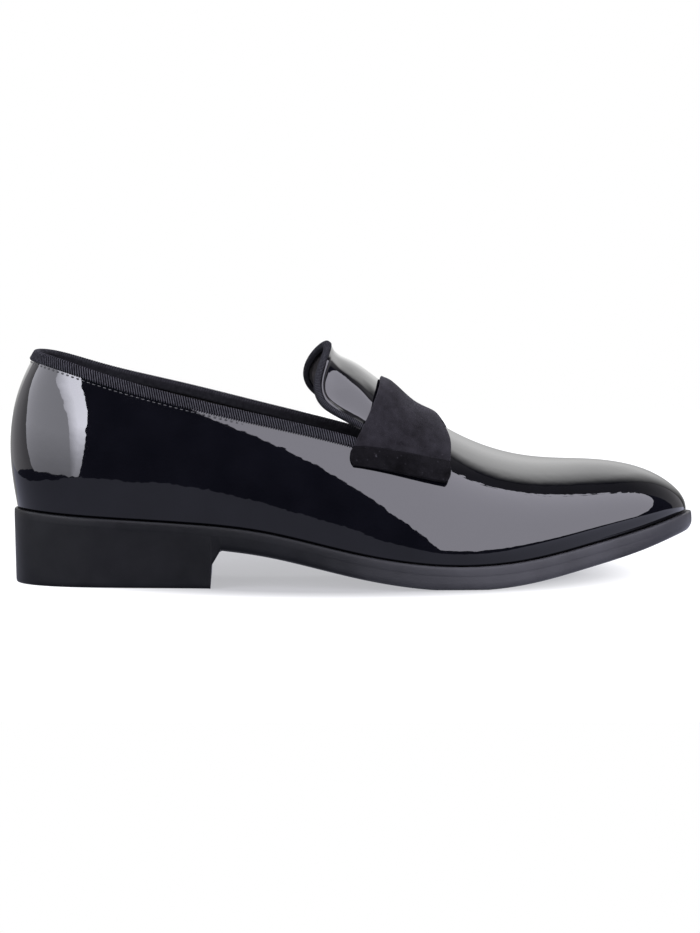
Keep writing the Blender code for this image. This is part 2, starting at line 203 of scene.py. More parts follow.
collar_turns = turn_at(COLLAR_ALONG)
collar_top = smooth_curve(
    np.concatenate((-collar_turns[:0:-1], collar_turns)),
    np.concatenate((COLLAR_HEIGHT[:0:-1], COLLAR_HEIGHT + INNER_RISE)),
)


def outer_face(turn, rise):
    """A point of the upper's outer face at a turn round the shoe and a rise up its section."""
    turn, rise = np.broadcast_arrays(np.asarray(turn, float), np.asarray(rise, float))
    up = np.sin(rise)
    height = section_height(turn) * up
    swell = 1.0 + side_bulge(turn) * (1.0 - (1.0 - up) ** 4)
    wall = np.sign(np.cos(rise)) * np.sqrt(np.maximum(1.0 - np.abs(up) ** wall_square(turn), 0.0))
    peak = ridge_peak(turn)
    reach = (wall + peak * np.cos(3.0 * rise)) / (1.0 + peak)
    across = middle_line(turn) + ridge_lean(turn) * up ** 2 + half_width(turn) * reach * swell
    share = np.maximum(height, 0.0) / HEEL_CURVE_HEIGHT
    fullest = HEEL_CURVE_POWER ** (1.0 / (1.0 - HEEL_CURVE_POWER))
    depth = fullest - fullest ** HEEL_CURVE_POWER
    back = HEEL_BULGE / depth * (share ** HEEL_CURVE_POWER - share)
    fade = np.cos(np.clip(turn / HEEL_CURVE_REACH, -1.0, 1.0) * math.pi / 2) ** 4
    along = place_at(turn) + back * fade
    return np.stack((along, across, feather_height(turn) + height), axis=-1)


def unit(vectors):
    """Vectors in the same directions, each of length 1."""
    return vectors / np.linalg.norm(vectors, axis=-1, keepdims=True)


def face_slopes(turn, rise):
    """How the outer face's point moves with the turn and with the rise."""
    onward = (outer_face(turn + NUDGE, rise) - outer_face(turn - NUDGE, rise)) / (2.0 * NUDGE)
    up = (outer_face(turn, rise + NUDGE) - outer_face(turn, rise - NUDGE)) / (2.0 * NUDGE)
    return onward, up


def outward(turn, rise):
    """The outer face's unit normal, pointing away from the foot."""
    turn = np.clip(turn, TOE_POINT - math.pi, math.pi - TOE_POINT)
    onward, up = face_slopes(turn, rise)
    return unit(np.cross(up, onward))


def lifted_face(turn, rise, lift):
    """A point this far outside the upper's outer face."""
    return outer_face(turn, rise) + np.asarray(lift)[..., None] * outward(turn, rise)


def steps_along_face(turn, rise, direction):
    """The changes of turn and rise that go one millimetre along the outer face in a direction."""
    slopes = np.stack(face_slopes(turn, rise), axis=-2)
    sizes = slopes @ np.swapaxes(slopes, -1, -2)
    return np.linalg.solve(sizes, slopes @ direction[..., None])[..., 0].T


def collar_rise(turn):
    """The rise of the upper's own edge at the collar, which the ribbon's fold covers."""
    edge = collar_top(turn) - GAP - RIBBON
    return np.arcsin((edge - feather_height(turn)) / section_height(turn))


def tongue_edge(share):
    """Turn and rise of the tongue's edge: the share runs from -1 on the outer side to 1 on the inner side."""
    share = np.clip(share, -1.0, 1.0)
    tip = TONGUE_TIP + TONGUE_CURL * share ** 2 + TONGUE_SKEW * share
    roundness = (1.0 - np.abs(share) ** TONGUE_ROUNDNESS) ** (1.0 / TONGUE_ROUNDNESS)
    along = between((TONGUE_SIDE, tip), roundness)
    rise = math.pi / 2 - share * (math.pi / 2 - TONGUE_RISE)
    return turn_at(along), rise


# Working with Blender's own tools

# Points this close, in metres, are merged
WELD = 4e-6
ROUND_STEPS = 5
ROUND_ANGLE = math.radians(50)


def deselect():
    """Leave edit mode and select nothing."""
    if bpy.context.mode != "OBJECT":
        bpy.ops.object.mode_set(mode="OBJECT")
    bpy.ops.object.select_all(action="DESELECT")


def pick(piece):
    """Select one piece alone and make it the active one."""
    deselect()
    piece.select_set(True)
    bpy.context.view_layer.objects.active = piece


def new_grid(name, rows, columns, lay):
    """A grid of which lay turns the shares along its rows and columns into points in metres."""
    deselect()
    bpy.ops.mesh.primitive_grid_add(x_subdivisions=rows, y_subdivisions=columns, size=1.0)
    piece = bpy.context.object
    piece.name = name
    piece.data.name = name
    flat = np.empty(len(piece.data.vertices) * 3)
    piece.data.vertices.foreach_get("co", flat)
    shares = flat.reshape(-1, 3)[:, :2] + 0.5
    piece.data.vertices.foreach_set("co", lay(shares[:, 0], shares[:, 1]).ravel())
    piece.data.update()
    return piece


def laid_grid(name, rows, columns, lay):
    """A grid laid on the last: lay turns its shares up the section and along the shoe into millimetres."""
    middle = np.array((*BOX_MIDDLE, 0.0))
    return new_grid(name, rows, columns, lambda up, on: (lay(up, on) - middle) * MM)


def weld(piece, close_ends=False, outside=False):
    """Merge points that lie on each other, then close open ends and turn the faces outward where asked."""
    pick(piece)
    bpy.ops.object.mode_set(mode="EDIT")
    bpy.ops.mesh.select_all(action="SELECT")
    bpy.ops.mesh.remove_doubles(threshold=WELD)
    if close_ends:
        bpy.ops.mesh.select_all(action="SELECT")
        bpy.ops.mesh.fill_holes(sides=0)
    if outside:
        bpy.ops.mesh.select_all(action="SELECT")
        bpy.ops.mesh.normals_make_consistent(inside=False)
    bpy.ops.object.mode_set(mode="OBJECT")


def apply_all(piece):
    """Apply a piece's modifiers in their order."""
    pick(piece)
    for modifier in list(piece.modifiers):
        bpy.ops.object.modifier_apply(modifier=modifier.name)


def thicken(piece, thickness, side, inner=0):
    """Give a sheet its wall, outward for side 1 and inward for side -1, with its own finish inside."""
    wall = piece.modifiers.new("Wall", "SOLIDIFY")
    wall.thickness = thickness * MM
    wall.offset = side
    wall.use_rim = True
    wall.material_offset = inner
    wall.material_offset_rim = inner


def round_edges(piece, width):
    """Round a piece's sharp edges."""
    bevel = piece.modifiers.new("Rounding", "BEVEL")
    bevel.width = width * MM
    bevel.segments = ROUND_STEPS
    bevel.limit_method = "ANGLE"
    bevel.angle_limit = ROUND_ANGLE


def settle(piece, finishes, slot, *nodes):
    """Smooth a finished piece, give it its finishes and let it stand for its solids, if it has any."""
    pick(piece)
    bpy.ops.object.shade_smooth()
    for finish in finishes:
        piece.data.materials.append(finish)
    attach(piece, "root")
    if nodes:
        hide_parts(*nodes)


# Finishes

# The point attribute that carries the ribbons' painted shade and painted highlight
RIB_PAINTED_LIGHT = "rib_painted_light"
# Where the sole's colour is painted paler, as painted light that stands in for the light on its front part,
# along the shoe in metres
SOLE_PAINTED_LIGHT_SPAN = (-0.04, 0.09)


def feed(node, values):
    """Link each named input of a node to another node's output, or set it to a plain value."""
    for name, value in values.items():
        if isinstance(value, bpy.types.NodeSocket):
            node.id_data.links.new(value, node.inputs[name])
        else:
            node.inputs[name].default_value = value


def new_node(beside, kind, values):
    """A node in the same tree as an output beside it, with its inputs fed."""
    node = beside.id_data.nodes.new(kind)
    feed(node, values)
    return node


def new_finish(name, colour, roughness, specular):
    """A material, its shader and its coordinates on the piece."""
    material = bpy.data.materials.new(name)
    material.use_nodes = True
    shader = material.node_tree.nodes["Principled BSDF"]
    feed(shader, {"Base Color": (*colour, 1.0), "Roughness": roughness, "Specular IOR Level": specular})
    where = material.node_tree.nodes.new("ShaderNodeTexCoord")
    return material, shader, where.outputs["Object"]


def speckle(where, scale, detail, roughness):
    """A noise of a scale in waves to the metre."""
    values = {"Vector": where, "Scale": scale, "Detail": detail, "Roughness": roughness}
    return new_node(where, "ShaderNodeTexNoise", values).outputs["Fac"]


def shades(amount, stops):
    """Colours along a ramp, each stop a place and a colour."""
    ramp = new_node(amount, "ShaderNodeValToRGB", {"Fac": amount})
    elements = ramp.color_ramp.elements
    while len(elements) < len(stops):
        elements.new(0.5)
    for element, (place, colour) in zip(elements, stops):
        element.position = place
        element.color = (*colour, 1.0)
    return ramp.outputs["Color"]


def mottled(where, noise, dark, pale):
    """A colour that wanders between two over a noise of a scale, a detail and a roughness."""
    return shades(speckle(where, *noise), ((0.3, dark), (0.7, pale)))


def mixed(amount, first, second):
    """Two colours, each plain or from a node, mixed by an amount from 0 to 1."""
    mix = amount.id_data.nodes.new("ShaderNodeMix")
    mix.data_type = "RGBA"
    feed(mix, {"Factor": amount, "A": first, "B": second})
    return mix.outputs["Result"]


def grey(value):
    """A colour with no hue."""
    return (value, value, value)


def relief(height, depth, strength, before=None):
    """A bump of a height in millimetres, laid over one before it."""
    values = {"Height": height, "Distance": depth * MM, "Strength": strength}
    bump = new_node(height, "ShaderNodeBump", values)
    if before is not None:
        feed(bump, {"Normal": before})
    return bump.outputs["Normal"]


def patent_leather():
    """Black patent leather: a mirror coat over near-black hide, with the hide's faint waves under it."""
    material, shader, where = new_finish("patent_leather", (0.0008, 0.0008, 0.0012), 0.35, 0.0)
    waves = relief(speckle(where, 75.0, 1.0, 0.4), 0.09, 0.35)
    ripples = relief(speckle(where, 220.0, 1.0, 0.4), 0.030, 1.0, waves)
    grain = relief(speckle(where, 420.0, 2.0, 0.5), 0.010, 0.3, ripples)
    feed(shader, {
        "Base Color": mottled(where, (60.0, 3.0, 0.5), (0.0005, 0.0005, 0.0009), (0.0010, 0.0010, 0.0016)),
        "Normal": grain,
        "Coat Normal": grain,
        "Coat Weight": 1.0,
        "Coat Roughness": 0.025,
        "Coat IOR": 1.4,
    })
    return material


def lining_leather(name, paleness):
    """Matt black lining leather with a fine grain, of a paleness from 1 up; a high paleness gives a paler
    copy that paints light on the lining.
    """
    material, shader, where = new_finish(name, (0.012, 0.0115, 0.0115), 0.6, 0.03)
    dark = (0.0020 * paleness, 0.0019 * paleness, 0.0019 * paleness)
    pale = (0.0040 * paleness, 0.0038 * paleness, 0.0037 * paleness)
    cells = new_node(where, "ShaderNodeTexVoronoi", {"Vector": where, "Scale": 900.0})
    grain = relief(cells.outputs["Distance"], 0.12, 0.6)
    feed(shader, {"Base Color": mottled(where, (90.0, 4.0, 0.6), dark, pale), "Normal": grain})
    return material


def grosgrain():
    """Black ribbed ribbon with fine threads, painted near black in the gaps between its ribs and paler on
    their crests: painted shade and painted highlight.
    """
    material, shader, where = new_finish("grosgrain_ribbon", (0.02, 0.02, 0.024), 0.6, 0.0)
    tone = speckle(where, 700.0, 3.0, 0.6)
    painted_rib_light = shades(tone, ((0.3, (0.018, 0.018, 0.0208)), (0.72, (0.038, 0.038, 0.0426))))
    rib = new_node(where, "ShaderNodeAttribute", {})
    rib.attribute_name = RIB_PAINTED_LIGHT
    # painted shade and highlight: near black in the rib gaps, paler on the crests, by the ribbon's painted
    # light attribute
    colour = mixed(rib.outputs["Fac"], (0.0008, 0.0008, 0.0010, 1.0), painted_rib_light)
    threads = relief(speckle(where, 3200.0, 1.0, 0.5), 0.10, 0.7)
    feed(shader, {"Base Color": colour, "Normal": threads})
    return material


def velvet(name, depth):
    """Black velvet with its colours and sheen scaled by a depth of tone, so a low depth paints a shaded copy:
    brushed nap in soft patches, a dull sheen and a few flecks of lint.
    """
    material, shader, where = new_finish(name, (0.010, 0.0095, 0.011), 0.95, 0.02)
    brushed = speckle(where, 85.0, 6.0, 0.68)
    dark = (0.0026 * depth, 0.0024 * depth, 0.0029 * depth)
    light = (0.0116 * depth, 0.0110 * depth, 0.0130 * depth)
    pile = shades(brushed, ((0.34, dark), (0.68, light)))
    lint = speckle(where, 520.0, 2.0, 0.5)
    flecks = shades(lint, ((0.68, grey(0.0)), (0.76, grey(1.0))))
    nap = relief(speckle(where, 1900.0, 3.0, 0.7), 0.22, 0.8)
    feed(shader, {
        "Base Color": mixed(flecks, pile, (0.014, 0.0135, 0.0152, 1.0)),
        "Normal": relief(brushed, 0.25, 0.5, nap),
        "Sheen Weight": 0.05 * depth,
        "Sheen Roughness": 0.45,
        "Sheen Tint": (0.8, 0.78, 0.86, 1.0),
    })
    return material


def moulded_sole():
    """Satin black sole rubber with a very fine pebble, painted paler from the ball to the toe: painted light
    that stands in for the front light on it.
    """
    material, shader, where = new_finish("moulded_sole", (0.012, 0.0125, 0.015), 0.45, 0.08)
    tone = speckle(where, 45.0, 4.0, 0.6)
    black = shades(tone, ((0.3, (0.0010, 0.0011, 0.0014)), (0.7, (0.0020, 0.0021, 0.0026))))
    # painted light: the paler grey towards the toe stands in for the light falling on the sole's front part
    painted_lit_grey = shades(tone, ((0.3, (0.0128, 0.0129, 0.0142)), (0.7, (0.0198, 0.0199, 0.0219))))
    parts = new_node(where, "ShaderNodeSeparateXYZ", {"Vector": where})
    forward = new_node(where, "ShaderNodeMapRange", {"Value": parts.outputs["X"]})
    forward.interpolation_type = "SMOOTHSTEP"
    feed(forward, {"From Min": SOLE_PAINTED_LIGHT_SPAN[0], "From Max": SOLE_PAINTED_LIGHT_SPAN[1]})
    feed(shader, {
        "Base Color": mixed(forward.outputs["Result"], black, painted_lit_grey),
        "Roughness": mottled(where, (120.0, 3.0, 0.5), grey(0.34), grey(0.44)),
        "Normal": relief(speckle(where, 1600.0, 2.0, 0.5), 0.05, 0.4),
    })
    return material


def sole_tread():
    """The sole's underside: fine plain ribs across the tread."""
    material, shader, where = new_finish("sole_tread", (0.012, 0.0125, 0.015), 0.6, 0.05)
    colour = mottled(where, (60.0, 4.0, 0.6), (0.0040, 0.0042, 0.0048), (0.0080, 0.0082, 0.0090))
    ribs = new_node(where, "ShaderNodeTexWave", {"Vector": where, "Scale": 110.0})
    ribs.bands_direction = "X"
    feed(shader, {"Base Color": colour, "Normal": relief(ribs.outputs["Fac"], 0.5, 0.8)})
    return material


def pale_floor():
    """A pale studio floor that glows, less so in the soft shade round the shoe."""
    material, shader, where = new_finish("pale_floor", grey(FLOOR_TONE), 0.9, 0.0)
    place = new_node(where, "ShaderNodeMapping", {"Vector": where})
    for way, (middle, half) in enumerate(SHADE_SPREAD):
        place.inputs["Scale"].default_value[way] = 0.5 / half
        place.inputs["Location"].default_value[way] = -0.5 * middle / half
    near = new_node(where, "ShaderNodeTexGradient", {"Vector": place.outputs["Vector"]})
    near.gradient_type = "SPHERICAL"
    stops = [(at, grey(glow)) for at, glow in FLOOR_GLOW]
    feed(shader, {
        "Base Color": mottled(where, (4.0, 3.0, 0.5), grey(FLOOR_TONE * 0.98), grey(FLOOR_TONE)),
        "Emission Color": (1.0, 1.0, 1.0, 1.0),
        "Emission Strength": shades(near.outputs["Fac"], stops),
    })
    return material


# The upper

WALL_ROWS = 64
TUCK_ROWS = 5
COLLAR_COUNT = 230
VAMP_COUNT = 120
TONGUE_COUNT = 96
TONGUE_DEPTH = 52
TONGUE_CLOSENESS = 1.7
ROW_CLOSENESS = 0.6
SLOT_ROWS = 3
SAME_ROW = 1e-5
SIDE_SAMPLES = 80
TIP_SAMPLES = 400
# The tongue's soft crease up each side, by place along the shoe and rise
CREASE_PLACES = (-20.0, -6.8, -0.6, 3.7, 8.0, 13.0, 25.0)
CREASE_RISES = tuple(math.radians(rise) for rise in (72.0, 67.5, 63.3, 61.7, 58.0, 57.0, 57.0))
CREASE_LIFT = 0.55
CREASE_WIDTH = math.radians(6)
CREASE_END = (22.0, 9.0)
# The tongue's edge turns out at its foot: lifts by distance from it, gone towards the tip and under the strap
TURNED_DISTANCES = (0.0, 1.5, 3.0, 4.5, 6.0, 7.5, 11.0, 16.0, 20.0)
TURNED_LIFTS = (0.95, 0.22, -0.5, -1.05, -1.26, -1.26, -0.75, -0.12, 0.0)
TURNED_START = (-16.0, -4.0)
TURNED_END = (18.0, 3.0)
# In front of this place and above it, in metres, the lining inside the tongue takes the paler copy: painted
# light
PAINTED_LIGHT_LINING_START = (-0.03, 0.068)
# The leather stands out under the collar's ribbon round the heel
FLARE_LIFT = 0.17
FLARE_WIDTH = 10.0
FLARE_ENDS = (-80.0, -60.0)
# The bead beside the tongue's ribbon, by distance from the edge
BEAD_PLACE = 2.6
BEAD_HALF = 1.3
BEAD_LIFT = 0.45
BEAD_END = (-2.0, -9.0)
turned_lift = smooth_curve(TURNED_DISTANCES, TURNED_LIFTS)


def tucked(turn):
    """How high the wall is rounded under to the sole, the rise there, and the section's height."""
    scale = np.maximum(section_height(turn), NO_HEIGHT)
    tuck = np.minimum(TUCK, TUCK_SHARE * section_height(turn))
    return tuck, np.arcsin(tuck / scale), scale


def lasted_face(turn, rise):
    """The outer face, rounded under to the sole along its lowest edge."""
    height = section_height(turn) * np.sin(rise)
    tuck, start, _ = tucked(turn)
    start = np.where(rise > math.pi / 2, math.pi - start, start)
    low = height < tuck
    point = outer_face(turn, np.where(low, start, rise))
    away = outward(turn, start)
    away[:, 2] = 0.0
    drop = np.where(low, tuck - height, 0.0)
    inset = tuck - np.sqrt(np.maximum(tuck ** 2 - drop ** 2, 0.0))
    point = point - unit(away) * inset[:, None]
    point[:, 2] -= drop
    return point


def wall_rise(turn, top, share):
    """Rises up the wall, close together where it is rounded under and even above that."""
    tuck, start, scale = tucked(turn)
    first = TUCK_ROWS / WALL_ROWS
    bend = np.clip(share / first, 0.0, 1.0) * math.pi / 2
    low = np.arcsin(tuck * (1.0 - np.cos(bend)) / scale)
    high = start + (top - start) * (share - first) / (1.0 - first)
    return np.where(share < first, low, high)


def crease_lift(turn, rise):
    """How far the tongue's creases stand out of the last, fading under the strap."""
    along = place_at(turn)
    line = np.interp(along, CREASE_PLACES, CREASE_RISES)
    near = np.minimum(rise, math.pi - rise)
    return CREASE_LIFT * eased(along, *CREASE_END) * np.exp(-(((near - line) / CREASE_WIDTH) ** 2))


def collar_flare(turn, rise):
    """How far the leather stands out under the collar's ribbon, round the heel."""
    along = place_at(turn)
    fade = np.clip((FLARE_ENDS[1] - along) / (FLARE_ENDS[1] - FLARE_ENDS[0]), 0.0, 1.0)
    inset = (collar_rise(turn) - rise) * section_height(turn)
    return FLARE_LIFT * fade * np.clip(1.0 - inset / FLARE_WIDTH, 0.0, 1.0) ** 2


def edge_roll(inset, turn):
    """How far the tongue's edge turns out at a distance from it, and the bead beside its ribbon stands up."""
    along = place_at(turn)
    turned = turned_lift(np.clip(inset, TURNED_DISTANCES[0], TURNED_DISTANCES[-1]))
    bead = np.cos(math.pi / 2 * np.clip((inset - BEAD_PLACE) / BEAD_HALF, -1.0, 1.0)) ** 2
    turned_share = eased(along, *TURNED_START) * eased(along, *TURNED_END)
    return BEAD_LIFT * eased(along, *BEAD_END) * bead + turned_share * turned


def closer_at_ends(share):
    """Shares from 0 to 1 set closer together towards both ends."""
    return share - ROW_CLOSENESS * np.sin(2.0 * math.pi * share) / (2.0 * math.pi)


def make_upper():
    """Sides and heel, vamp and tongue laid on the last, joined and given their wall."""
    slot = float(turn_at(SLOT_END))
    slot_tops = float(collar_rise(slot)), float(collar_rise(-slot))

    def lay_sides(up, on):
        turn = slot * (2.0 * on - 1.0)
        rise = wall_rise(turn, collar_rise(turn), up)
        return lasted_face(turn, rise) + collar_flare(turn, rise)[:, None] * outward(turn, rise)

    vamp_rows = 2 * WALL_ROWS + 2 * SLOT_ROWS + TONGUE_COUNT
    wall_part = WALL_ROWS / vamp_rows
    tongue_part = (WALL_ROWS + SLOT_ROWS) / vamp_rows

    def lay_vamp(up, on):
        turn = between((slot, math.pi), on)
        near = np.minimum(up, 1.0 - up)
        slot_top = np.where(up > 0.5, slot_tops[1], slot_tops[0])
        wall = wall_rise(turn, slot_top, np.clip(near / wall_part, 0.0, 1.0))
        in_slot = slot_top + (TONGUE_RISE - slot_top) * (near - wall_part) / (tongue_part - wall_part)
        over = 2.0 * closer_at_ends(0.5 * (near - tongue_part) / (0.5 - tongue_part))
        crown = between((TONGUE_RISE, math.pi / 2), over)
        above = np.where(near < tongue_part + SAME_ROW, in_slot, crown)
        rise = np.where(near < wall_part + SAME_ROW, wall, above)
        rise = np.where(up > 0.5, math.pi - rise, rise)
        shaped = (near >= tongue_part - SAME_ROW) & (turn < turn_at(CREASE_END[0]))
        point = lasted_face(turn, rise)
        point[shaped] = shaped_tongue(turn[shaped], rise[shaped])
        return point

    side_turns = turn_at(np.linspace(TONGUE_SIDE, TURNED_END[0], SIDE_SAMPLES))
    tip_shares = np.sin(np.linspace(-math.pi / 2, math.pi / 2, TIP_SAMPLES))
    edge_line = outer_face(*tongue_edge(tip_shares))
    side_lines = [outer_face(side_turns, rise) for rise in (TONGUE_RISE, math.pi - TONGUE_RISE)]
    rim = np.concatenate((edge_line, *side_lines))

    def shaped_tongue(turn, rise):
        point = outer_face(turn, rise)
        inset = np.min(np.linalg.norm(point[:, None, :] - rim[None, :, :], axis=2), axis=1)
        lift = crease_lift(turn, rise) + edge_roll(inset, turn)
        return point + lift[:, None] * outward(turn, rise)

    def lay_tongue(up, on):
        edge_turn, rise = tongue_edge(1.0 - 2.0 * closer_at_ends(up))
        return shaped_tongue(between((edge_turn, slot), on ** TONGUE_CLOSENESS), rise)

    upper = laid_grid("patent_upper", WALL_ROWS, COLLAR_COUNT, lay_sides)
    vamp = laid_grid("vamp", vamp_rows, VAMP_COUNT, lay_vamp)
    tongue = laid_grid("tongue", TONGUE_COUNT, TONGUE_DEPTH, lay_tongue)
    pick(upper)
    vamp.select_set(True)
    tongue.select_set(True)
    bpy.ops.object.join()
    weld(upper)
    for finish in (PATENT, LINING, LIT_TONGUE_LINING):
        upper.data.materials.append(finish)
    thicken(upper, UPPER_WALL, -1, inner=1)
    apply_all(upper)
    settle(upper, (), "patent", "upper")
    # painted light: the lining inside the tongue takes the paler copy of the same leather
    for face in upper.data.polygons:
        in_painted_light = face.center.x > PAINTED_LIGHT_LINING_START[0] and face.center.z > PAINTED_LIGHT_LINING_START[1]
        if face.material_index == 1 and in_painted_light:
            face.material_index = 2


# The ribbons

RIB_COLUMNS = 6
# Each ribbon's ribs: their pitch, depth and slant
COLLAR_RIBS = (1.12, 0.36, 0.5)
TONGUE_RIBS = (0.8, 0.14, 0.1)
RIB_LEVEL = 0.65
# How sharply the painted highlight gathers on the rib crests, and the painted shade over the ribbon's smooth
# inside
RIB_SHARPNESS = 6
INSIDE_PAINTED_SHADE = 0.2
COLLAR_SAMPLES = 2001
TONGUE_SAMPLES = 1201
END_SAMPLES = 40
# The puckers under the collar's ribbon, gone towards the tongue
PUCKER_PITCH = 2.5
PUCKER_LENGTH = 1.6
PUCKER_ENDS = (-36.0, -62.0)
PUCKER_HEIGHT = 0.46
PUCKER_SUNK = 0.3
PUCKER_LEAST = 0.002
PUCKER_DISTANCE = 1.0
PUCKER_COLUMNS = 10
PUCKER_SIDES = 8


def collar_edge(short):
    """Turns and rises of the collar's edge, from one side of the tongue round the heel to the other."""
    end = float(turn_at(COLLAR_BINDING_END)) - short
    turns = np.linspace(-end, end, COLLAR_SAMPLES)
    return turns, collar_rise(turns)


def tongue_rim():
    """Turns and rises of the tongue's edge, with a straight end on each side."""
    turns, rises = tongue_edge(np.sin(np.linspace(math.pi / 2, -math.pi / 2, TONGUE_SAMPLES)))
    end = float(turn_at(TONGUE_BINDING_END))
    lead = np.linspace(end, turns[0], END_SAMPLES)[:-1]
    trail = np.linspace(turns[-1], end, END_SAMPLES)[1:]
    return np.concatenate((lead, turns, trail)), np.pad(rises, END_SAMPLES - 1, mode="edge")


def edge_strip(turns, rises, count_of):
    """An edge of the upper in even steps: distances along it, points, and how to go in from them."""
    points = outer_face(turns, rises)
    lengths = np.concatenate(((0.0,), np.cumsum(np.linalg.norm(np.diff(points, axis=0), axis=1))))
    places = np.linspace(0.0, lengths[-1], count_of(lengths[-1]) + 1)
    turns = np.interp(places, lengths, turns)
    rises = np.interp(places, lengths, rises)
    line = outer_face(turns, rises)
    inward = unit(np.cross(outward(turns, rises), np.gradient(line, axis=0)))
    turn_step, rise_step = steps_along_face(turns, rises, inward)

    def step_in(column, inset):
        return turns[column] + inset * turn_step[column], rises[column] + inset * rise_step[column]

    return places, line, step_in


def folded_section(width):
    """A ribbon's section: inset from the edge, lift off the leather, and the ribs' push in and out."""
    outer_lift = GAP + RIBBON
    inner_lift = -UPPER_WALL - GAP - RIBBON
    middle = (outer_lift + inner_lift) / 2
    half = (outer_lift - inner_lift) / 2
    section = [
        (width, GAP, 2.0, 0.0),
        (width, outer_lift * 0.55, 2.4, 0.6),
        (width - 0.35, outer_lift, 1.6, 1.0),
    ]
    section += [(inset, outer_lift, 0.0, 1.0) for inset in np.linspace(width - 0.8, 0.4, 6)]
    for bend in np.linspace(90.0, -90.0, 9):
        swing = math.radians(bend)
        reach = 1.0 if bend > 0.0 else 1.0 + bend / 90.0
        push = (-math.cos(swing) * reach, math.sin(swing) * reach)
        section.append((-outer_lift * math.cos(swing), middle + half * math.sin(swing), *push))
    section += [(inset, inner_lift, 0.0, 0.0) for inset in np.linspace(0.6, width - 0.4, 4)]
    back = inner_lift + RIBBON
    corners = ((width, inner_lift + 0.3), (width, back), (-GAP, back), (-GAP, GAP))
    section += [(*corner, 0.0, 0.0) for corner in corners]
    section.append(section[0])
    return np.array(section)


def make_ribbon(name, edge, width, ribs, node, roll=lambda inset, turn: 0.0):
    """A ribbed ribbon folded over an edge of the upper, its ribs standing across it."""
    pitch, depth, slant = ribs
    places, _, step_in = edge_strip(*edge, lambda length: int(length / pitch * RIB_COLUMNS))
    count = len(places) - 1
    section = folded_section(width)
    sides = len(section) - 1
    painted_rib_light = []

    def lay(around, on):
        side = np.rint(around * sides).astype(int)
        column = np.rint(on * count).astype(int)
        inset, lift, push_in, push_out = section[side].T
        crest = np.abs(np.sin(math.pi * (places[column] + slant * inset) / pitch))
        rib = crest - RIB_LEVEL
        ribbed = np.clip(np.hypot(push_in, push_out), 0.0, 1.0)
        # painted highlight on the rib crests and painted shade in the gaps and on the smooth inside, kept on
        # each point
        painted_rib_light.append(crest ** RIB_SHARPNESS * ribbed + INSIDE_PAINTED_SHADE * (1.0 - ribbed))
        inset = inset + depth * rib * push_in
        turn, rise = step_in(column, inset)
        lift = lift + depth * rib * push_out + roll(inset, turn)
        return lifted_face(turn, rise, lift)

    ribbon = laid_grid(name, sides, count, lay)
    heights = ribbon.data.attributes.new(RIB_PAINTED_LIGHT, "FLOAT", "POINT")
    heights.data.foreach_set("value", painted_rib_light[0])
    weld(ribbon, close_ends=True, outside=True)
    settle(ribbon, (GROSGRAIN,), "ribbon", node)


def make_puckers():
    """The row of small puckers that the ribbon's stitching draws in the leather just under it."""
    edge = collar_edge(NUDGE)
    places, line, step_in = edge_strip(*edge, lambda length: int(length / PUCKER_PITCH) * PUCKER_COLUMNS)
    count = len(places) - 1

    def lay(around, on):
        column = np.rint(on * count).astype(int)
        place = (places[column] / PUCKER_PITCH) % 1.0 - 0.5
        swell = 1.0 - (2.0 * place * PUCKER_PITCH / PUCKER_LENGTH) ** 2
        swell = np.sqrt(np.clip(swell, PUCKER_LEAST, 1.0))
        swing = 2.0 * math.pi * around
        height = PUCKER_HEIGHT * eased(line[column, 0], *PUCKER_ENDS)
        inset = COLLAR_BINDING_WIDTH + PUCKER_DISTANCE + PUCKER_HEIGHT * swell * np.cos(swing)
        lift = height * swell * np.sin(swing) - PUCKER_SUNK * PUCKER_HEIGHT
        return lifted_face(*step_in(column, inset), lift)

    puckers = laid_grid("collar_puckers", PUCKER_SIDES, count, lay)
    weld(puckers, close_ends=True, outside=True)
    settle(puckers, (PATENT,), "patent")


# The velvet strap

STRAP_CLOTH = 1.5
STRAP_ROUNDING = 0.7
# Its wave from the rear edge to the front one, and how the rear edge lifts and dips over the ridge
STRAP_SHARES = (0.0, 0.15, 0.35, 0.55, 0.7, 0.82, 0.92, 1.0)
STRAP_LIFTS = (0.0, 0.1, 0.2, 0.25, 0.8, 1.5, 1.5, 0.4)
STRAP_REAR_LIFT = 1.05
STRAP_RIDGE_LIFT = 0.3
STRAP_RIDGE_HALF = 0.35
STRAP_DIP = 1.15
STRAP_DIP_REACH = 0.09
STRAP_REAR_REACH = 0.6
STRAP_ROWS = 130
STRAP_COLUMNS = 46
strap_wave = smooth_curve(STRAP_SHARES, STRAP_LIFTS)


def strap_edges(down):
    """Places along the shoe of the strap's rear and front edge, from its ridge (0) to its ends (1 and -1)."""
    rear = STRAP_REAR_RIDGE - STRAP_REAR_FLARE * np.abs(down) ** STRAP_REAR_POWER
    power = np.where(np.asarray(down) > 0.0, STRAP_FAR_POWER, STRAP_FRONT_POWER)
    front = STRAP_FRONT - STRAP_FRONT_DRAW * (1.0 - np.square(down)) ** power
    return rear, front


def strap_end_rise(along):
    """The rise of the line where the strap ends and its folded band begins."""
    rear, front = strap_edges(1.0)
    share = (along - rear) / (front - rear)
    return between(STRAP_END_RISES, share)


